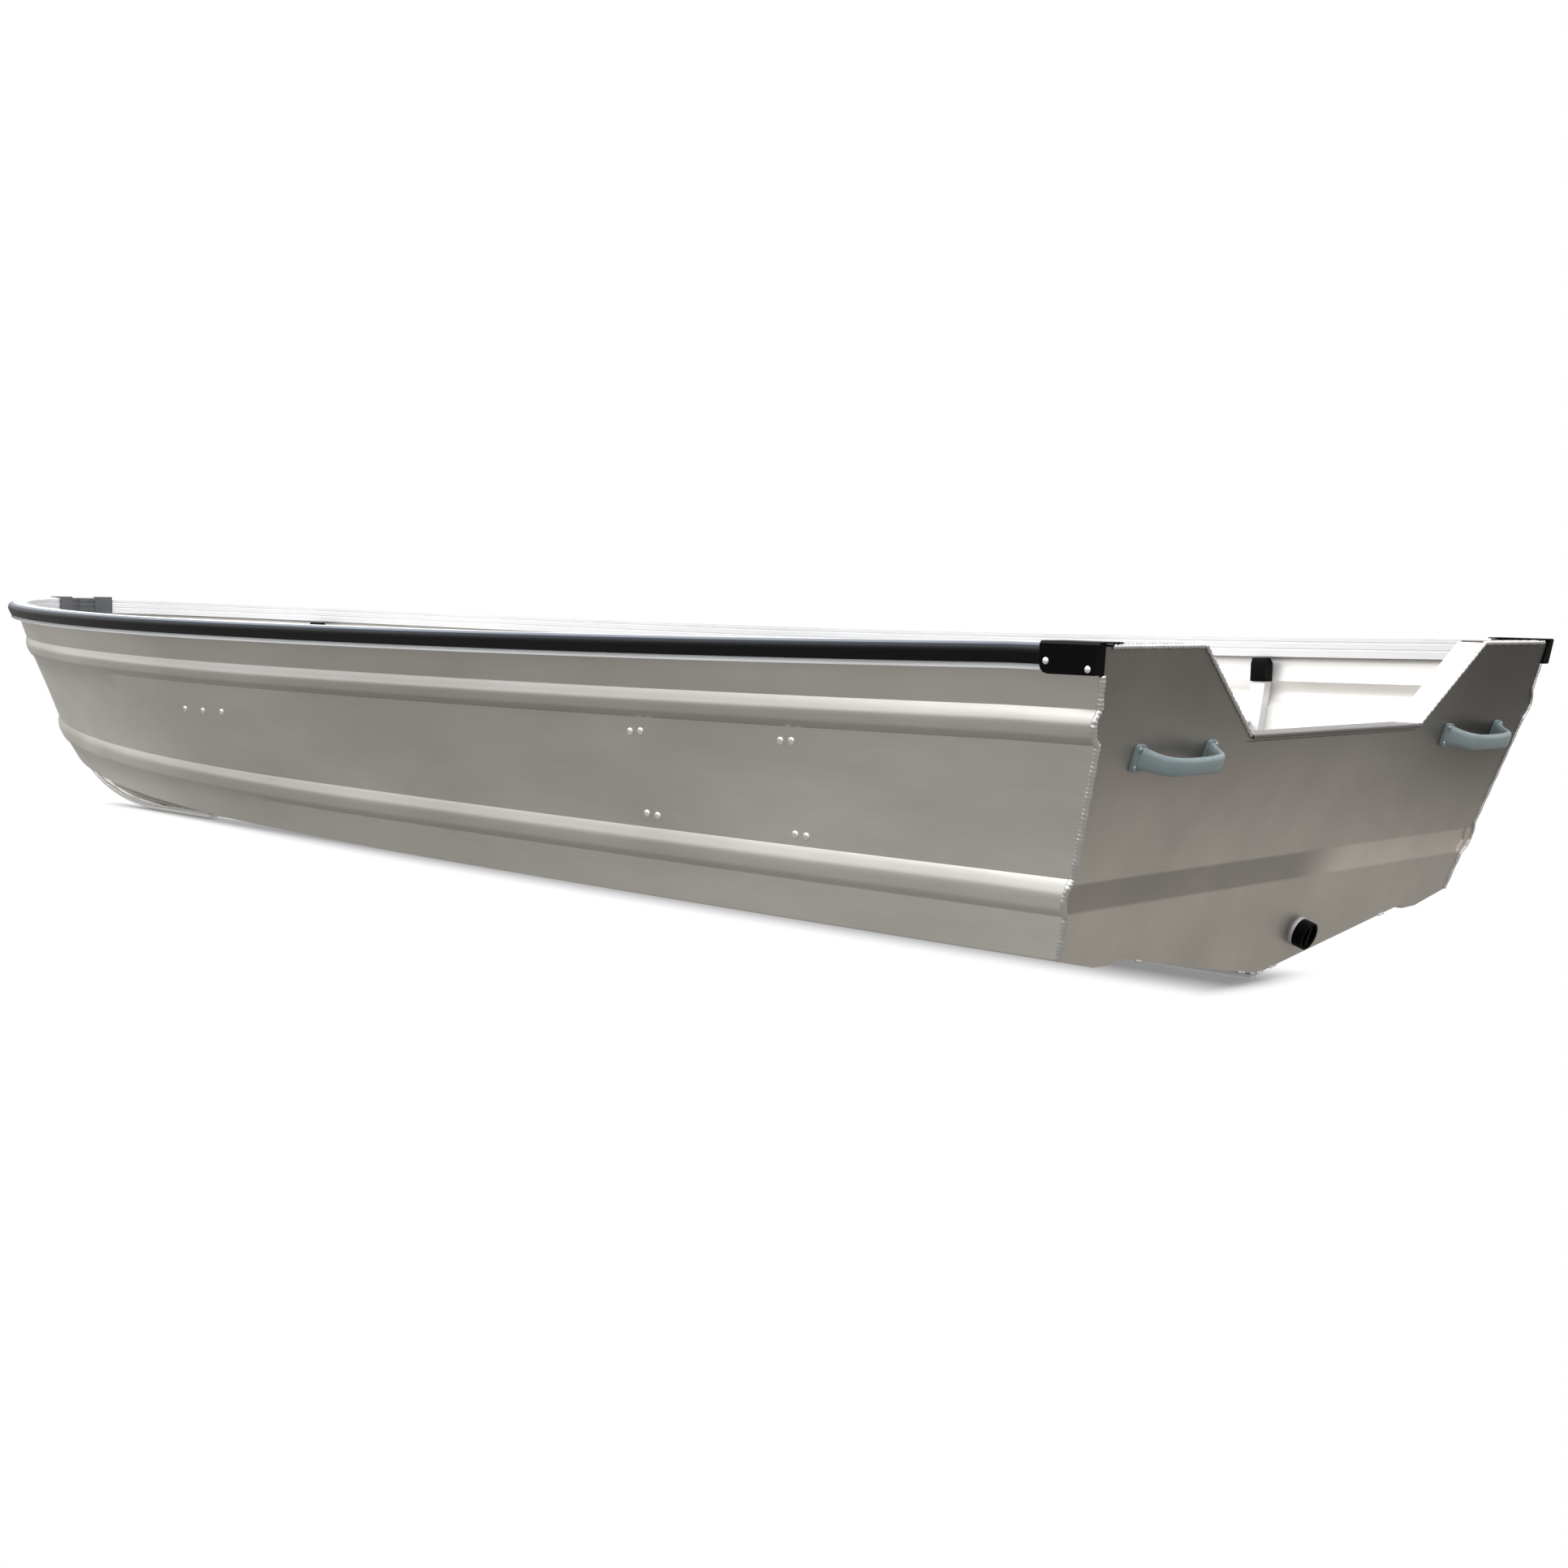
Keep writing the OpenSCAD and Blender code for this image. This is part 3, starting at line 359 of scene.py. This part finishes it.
# Painted shade: the bow rail and sleeves are the rails' aluminium, coloured dark for the shade and dark
# reflection at the bow
SHADED_BOW_RAIL = sheet("bow_rail", (0.13, 0.135, 0.15), (0.05, 0.053, 0.06), 0.42, 0.5, 0.06)
WELD = even("weld_bead", (0.60, 0.59, 0.58), 0.26, 260.0, 0.95, 0.6)
RIVET = even("rivet_head", (0.86, 0.86, 0.86), 0.24, 500.0, 0.9, 0.05)
SCREW = even("screw_head", (0.34, 0.37, 0.38), 0.34, 500.0, 0.9, 0.05)
# Painted reflection: the rubber's upward faces get a blue-grey sheen
RUBBER = even("rail_rubber", (0.0012, 0.0013, 0.002), 0.36, 300.0, 0.0, 0.05, specular=0.16,
              sheen=rgb(0.07, 0.085, 0.11))
PLASTIC = even("black_plastic", (0.0008, 0.0008, 0.0012), 0.45, 900.0, 0.0, 0.1, specular=0.05)
CASTING = even("handle_casting", (0.20, 0.25, 0.262), 0.40, 350.0, 0.1, 0.3, coat=0.1)
PLY = sheet("plywood", (0.55, 0.40, 0.25), (0.42, 0.29, 0.17), 0.6, 0.0, 0.1)

FINISH = {
    "side_port": HULL, "side_starboard": HULL, "bottom_port": BOTTOM, "bottom_starboard": BOTTOM,
    "keel": BRIGHT, "stem_guard": GUARD, "transom_skin": TRANSOM, "transom_core": PLY, "transom_liner": INSIDE,
    "top_caps": TOPS, "slant_caps": BRIGHT, "notch_cap": TOPS, "rail_port": RAIL, "rail_starboard": RAIL,
    "rail_bow": SHADED_BOW_RAIL, "rail_sleeves": SHADED_BOW_RAIL, "rub_rail": RUBBER, "corner_caps": PLASTIC,
    "handle_port_cast": CASTING, "handle_starboard_cast": CASTING, "drain_flange": BRIGHT, "drain_plug": PLASTIC,
    "rear_seat": INSIDE, "rear_frames": POSTS, "post_caps": PLASTIC, "bow_seat": INSIDE, "bow_frames": INSIDE,
    "bow_post_caps": PLASTIC, "ribs": INSIDE, "transom_knee": INSIDE, "bow_eye": BRIGHT,
}
for name, obj in NODES.items():
    obj.data.materials.clear()
    obj.data.materials.append(FINISH[name])
    for p in obj.data.polygons:
        p.use_smooth = True
        p.material_index = 0
    w = obj.modifiers.new("weld", "WELD")
    w.merge_threshold = 0.00002
    e = obj.modifiers.new("edges", "EDGE_SPLIT")
    e.split_angle = math.radians(32)


# Pieces
def piece(name, verts, faces, material, smooth=True):
    me = bpy.data.meshes.new(name)
    me.from_pydata([tuple(v) for v in verts], [], faces)
    me.update()
    for p in me.polygons:
        p.use_smooth = smooth
    o = bpy.data.objects.new(name, me)
    bpy.context.collection.objects.link(o)
    me.materials.append(material)
    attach(o, "root")
    return o


def frame_along(d):
    d = d.normalized()
    s = d.cross(Vector((0, 0, 1)))
    if s.length < 1e-3:
        s = d.cross(Vector((0, 1, 0)))
    s.normalize()
    return s, s.cross(d).normalized()


def bead(path, radius, ripple, pitch, sides=8):
    """A rippled weld bead along a path of points."""
    pts = [path[0]]
    for a, b in zip(path, path[1:]):
        n = max(1, int((b - a).length / pitch * 4))
        pts += [a.lerp(b, (i + 1) / n) for i in range(n)]
    verts, faces = [], []
    run = 0.0
    for i, p in enumerate(pts):
        d = (pts[min(i + 1, len(pts) - 1)] - pts[max(i - 1, 0)])
        s, u = frame_along(d)
        if i:
            run += (p - pts[i - 1]).length
        r = radius * (1 + ripple * math.sin(2 * math.pi * run / pitch) + 0.10 * math.sin(run * 173.0))
        for j in range(sides):
            t = 2 * math.pi * j / sides
            verts.append(p + s * (math.cos(t) * r) + u * (math.sin(t) * r))
    for i in range(len(pts) - 1):
        for j in range(sides):
            k = (j + 1) % sides
            faces.append((i * sides + j, i * sides + k, (i + 1) * sides + k, (i + 1) * sides + j))
    faces.append(tuple(range(sides - 1, -1, -1)))
    faces.append(tuple((len(pts) - 1) * sides + j for j in range(sides)))
    return verts, faces


def dome(centre, out, radius, height, rings=4, sides=16):
    """A pan head: a low dome with a short wall."""
    out = out.normalized()
    s, u = frame_along(out)
    verts, faces = [], []
    profile = [(radius, -0.0006), (radius, height * 0.3)]
    profile += [(radius * math.cos(a), height * 0.3 + height * 0.7 * math.sin(a))
                for a in (math.pi / 2 * k / rings for k in range(1, rings))]
    for r, h in profile:
        for j in range(sides):
            t = 2 * math.pi * j / sides
            verts.append(centre + s * (math.cos(t) * r) + u * (math.sin(t) * r) + out * h)
    verts.append(centre + out * height)
    n = len(profile)
    for i in range(n - 1):
        for j in range(sides):
            k = (j + 1) % sides
            faces.append((i * sides + j, i * sides + k, (i + 1) * sides + k, (i + 1) * sides + j))
    for j in range(sides):
        faces.append(((n - 1) * sides + j, (n - 1) * sides + (j + 1) % sides, n * sides))
    return verts, faces


def join(parts):
    verts, faces = [], []
    for v, f in parts:
        n = len(verts)
        verts += v
        faces += [tuple(i + n for i in q) for q in f]
    return verts, faces


def tree_of(name):
    me = NODES[name].data
    return BVHTree.FromPolygons([v.co.copy() for v in me.vertices],
                                [tuple(p.vertices) for p in me.polygons])


# Rivets on the sides. Columns: distance from the transom's foot, height.
RIVETS = ((0.455, 0.395), (0.479, 0.394), (0.805, 0.390), (0.831, 0.388), (0.448, 0.239), (0.472, 0.240),
          (0.792, 0.243), (0.818, 0.245), (2.11, 0.352), (2.19, 0.350), (2.27, 0.350))
for side, sign in (("side_port", 1), ("side_starboard", -1)):
    tree = tree_of(side)
    heads = []
    for x, z in RIVETS:
        hit, normal, _, _ = tree.ray_cast(at(x, sign * 1.2, z), Vector((0, -sign, 0)))
        if hit:
            if normal.y * sign < 0:
                normal = -normal
            heads.append(dome(hit, normal, 0.0068, 0.0032))
    piece("rivets_" + side, *join(heads), RIVET)

# Outline of the stern from keel to rail, half breadth and height in millimetres
STERN = ((0, 0), (20, 3.5), (160, 28), (310, 54), (465, 81), (475, 72), (523, 73), (627, 97),
         (641.4, 165), (653.7, 177), (660.1, 192), (660.9, 208), (653.9, 224), (675, 324), (696.3, 425),
         (707.6, 435), (714.4, 449), (714.8, 463), (707.3, 477), (717.7, 526))
CHINE = 7


def stern_point(i, sign, out=0.0, aft=0.0):
    y, z = STERN[i][0] / 1000, STERN[i][1] / 1000
    return at(transom_x(z) - aft, sign * (y + out), z)


for side, sign in (("port", 1), ("starboard", -1)):
    parts = []
    # Down the corner between side and transom, round the ends of the strakes
    out, size = (0.0012, 0.0048) if sign > 0 else (-0.0022, 0.0026)
    corner = [stern_point(i, sign, out, 0.001) for i in range(len(STERN) - 1, CHINE - 1, -1)]
    parts.append(bead(corner, size, 0.10 if sign > 0 else 0.02, 0.0068, sides=10))
    # Tacks under the bottom's edge, beside the keel
    for i, k0, k1 in ((0, 0.2, 0.9), (1, 0.15, 0.3), (3, 0.5, 0.6)):
        a, b = stern_point(i, sign), stern_point(i + 1, sign)
        parts.append(bead([a.lerp(b, k0), a.lerp(b, k1)], 0.0018, 0.25, 0.012, sides=6))
    # Along the top edge, then down the slanted edge of the notch
    top = [at(transom_x(0.567) - 0.001, sign * y, 0.5665) for y in (0.706, 0.60, 0.468)]
    parts.append(bead(top, 0.0036, 0.22, 0.010))
    slant = [at(transom_x(z) - 0.0008, sign * (y + 0.001), z - 0.0005)
             for y, z in ((0.464, 0.5685), (0.40, 0.519), (0.34, 0.473), (0.279, 0.4262))]
    parts.append(bead(slant, 0.0032, 0.25, 0.012))
    piece("weld_stern_" + side, *join(parts), WELD)
# Thin seam under the notch's cap
seam = [at(transom_x(0.4165) + 0.0004, y, 0.4165) for y in (-0.29, -0.1, 0.1, 0.29)]
piece("seam_notch", *bead(seam, 0.0011, 0.05, 0.05, sides=6), TOPS)

# Welds on both sides of the stem guard
for side, sign in (("port", 1), ("starboard", -1)):
    low = [Vector(v.co) for v in NODES["stem_guard"].data.vertices if sign * v.co.y > 0.0165]
    low.sort(key=lambda v: v.x)
    path = [low[0]]
    for v in low[1:]:
        if (v - path[-1]).length > 0.006:
            path.append(v)
    piece("weld_stem_" + side, *bead(path, 0.0032, 0.25, 0.009, sides=8), WELD)

# Two screws in each foot of the grab handles
out_dir = Vector((-math.cos(RAKE_LOW), 0, -math.sin(RAKE_LOW)))
up_dir = Vector((-math.sin(RAKE_LOW), 0, math.cos(RAKE_LOW)))
screws = []
for y, z in HANDLES:
    base = at(transom_x(z), y, z)
    for s in (-1, 1):
        for k in (-1, 1):
            place = base + Vector((0, s * (HANDLE_GAP * 0.57 + 0.006), 0))
            place = place + up_dir * (k * 0.0145) + out_dir * FOOT_OUT
            screws.append(dome(place, out_dir, 0.0046, 0.0026))
piece("handle_screws", *join(screws), SCREW)

# Pan rivets through the corner caps
pans = []
for sign in (1, -1):
    for x, z in ((-0.1455, 0.5347), (-0.0740, 0.5443)):
        pans.append(dome(at(x, sign * 0.745, z), Vector((0, sign, 0)), 0.0052, 0.0028))
piece("corner_rivets", *join(pans), RIVET)

# Four small studs on the face of the drain's plug
STUD_RING = 0.0155
drain = at(transom_x(DRAIN[1]), DRAIN[0], DRAIN[1])
studs = []
for k in range(4):
    t = math.radians(45 + 90 * k)
    place = drain + Vector((0, math.cos(t) * STUD_RING, 0)) + up_dir * (math.sin(t) * STUD_RING)
    place = place + out_dir * 0.016
    studs.append(dome(place, out_dir, 0.0018, 0.0012, sides=10))
piece("drain_screws", *join(studs), RIVET)

# Stage and light
floor_mesh = bpy.data.meshes.new("floor")
REACH = 60
corners = ((-REACH, -REACH), (REACH, -REACH), (REACH, REACH), (-REACH, REACH))
floor_mesh.from_pydata([(x, y, FLOOR_Z) for x, y in corners], [], [(0, 1, 2, 3)])
floor = bpy.data.objects.new("floor", floor_mesh)
bpy.context.collection.objects.link(floor)
floor_mat = bpy.data.materials.new("floor")
floor_mat.use_nodes = True
ft = floor_mat.node_tree
ft.nodes.clear()
# The camera sees white with a short soft shadow. Other rays meet an even grey.
near = node(ft, "ShaderNodeAmbientOcclusion", Distance=0.05)
near.samples = 12
shade = ramp(ft, near.outputs["AO"], [(p, (v, v, v)) for p, v in (
    (0.0, 0.12), (0.35, 0.42), (0.70, 0.82), (0.95, 1.0), (1.0, 1.0))])
pale = node(ft, "ShaderNodeEmission", Strength=1.0)
ft.links.new(shade, pale.inputs["Color"])
dull = node(ft, "ShaderNodeEmission", Color=rgb(0.40, 0.39, 0.37), Strength=1.0)
eye = ft.nodes.new("ShaderNodeLightPath")
pick = ft.nodes.new("ShaderNodeMixShader")
floor_out = ft.nodes.new("ShaderNodeOutputMaterial")
ft.links.new(eye.outputs["Is Camera Ray"], pick.inputs["Fac"])
ft.links.new(dull.outputs[0], pick.inputs[1])
ft.links.new(pale.outputs[0], pick.inputs[2])
ft.links.new(pick.outputs[0], floor_out.inputs["Surface"])
floor_mesh.materials.append(floor_mat)
floor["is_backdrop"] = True

world = bpy.data.worlds.new("studio")
bpy.context.scene.world = world
world.use_nodes = True
wt = world.node_tree
wt.nodes.clear()
out = wt.nodes.new("ShaderNodeOutputWorld")
mix = wt.nodes.new("ShaderNodeMixShader")
seen = node(wt, "ShaderNodeBackground", Color=rgb(1, 1, 1), Strength=1.0)
lit = node(wt, "ShaderNodeBackground", Strength=3.0)
path = wt.nodes.new("ShaderNodeLightPath")
geo = wt.nodes.new("ShaderNodeTexCoord")
sep = wt.nodes.new("ShaderNodeSeparateXYZ")
wt.links.new(geo.outputs["Generated"], sep.inputs[0])
up = node(wt, "ShaderNodeMapRange", **{"From Min": -1.0, "From Max": 1.0})
wt.links.new(sep.outputs["Z"], up.inputs["Value"])
sky = ramp(wt, up.outputs[0], [
    (0.0, (0.06, 0.06, 0.06)), (0.49, (0.12, 0.12, 0.12)), (0.53, (0.30, 0.30, 0.295)),
    (0.62, (0.42, 0.42, 0.42)), (0.80, (0.62, 0.62, 0.63)), (1.0, (0.72, 0.72, 0.74))])
wt.links.new(sky, lit.inputs["Color"])
wt.links.new(path.outputs["Is Camera Ray"], mix.inputs["Fac"])
wt.links.new(lit.outputs[0], mix.inputs[1])
wt.links.new(seen.outputs[0], mix.inputs[2])
wt.links.new(mix.outputs[0], out.inputs["Surface"])


def softbox(name, place, aim, size, power, color=(1, 1, 1)):
    d = bpy.data.lights.new(name, "AREA")
    d.shape = "RECTANGLE"
    d.size, d.size_y = size
    d.energy = power
    d.color = color
    o = bpy.data.objects.new(name, d)
    o.location = place
    o.rotation_euler = (Vector(aim) - Vector(place)).to_track_quat("-Z", "Y").to_euler()
    bpy.context.collection.objects.link(o)
    return o


softbox("light_over", (0.0, 1.0, 4.2), (0.0, 0.0, 0.0), (6.5, 4.0), 260)
softbox("light_port", (0.5, 6.0, 4.2), (0.0, 0.5, 0.2), (5.0, 1.6), 60)

# Camera
FOCAL, CENTRE, SIZE = 2676.4, (888.9, 1013.4), 1932.0
YAW, PITCH, ROLL = -0.80311, -0.10811, 0.019841
forward = Vector((math.cos(YAW) * math.cos(PITCH), math.sin(YAW) * math.cos(PITCH), math.sin(PITCH)))
right = Vector((math.sin(YAW), -math.cos(YAW), 0))
upward = right.cross(forward)
right, upward = (right * math.cos(ROLL) + upward * math.sin(ROLL),
                 upward * math.cos(ROLL) - right * math.sin(ROLL))
cam_data = bpy.data.cameras.new("camera")
cam_data.sensor_fit = "HORIZONTAL"
cam_data.sensor_width = 36.0
cam_data.lens = FOCAL / SIZE * 36.0
cam_data.shift_x = (SIZE / 2 - CENTRE[0]) / SIZE
cam_data.shift_y = (CENTRE[1] - SIZE / 2) / SIZE
cam_data.clip_end = 200
camera = bpy.data.objects.new("camera", cam_data)
basis = Matrix((right, upward, -forward)).transposed().to_4x4()
basis.translation = at(-1.8819, 3.2704, 0.6391)
camera.matrix_world = basis
bpy.context.collection.objects.link(camera)
bpy.context.scene.camera = camera
bpy.context.scene.view_settings.view_transform = "Standard"

low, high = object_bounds()
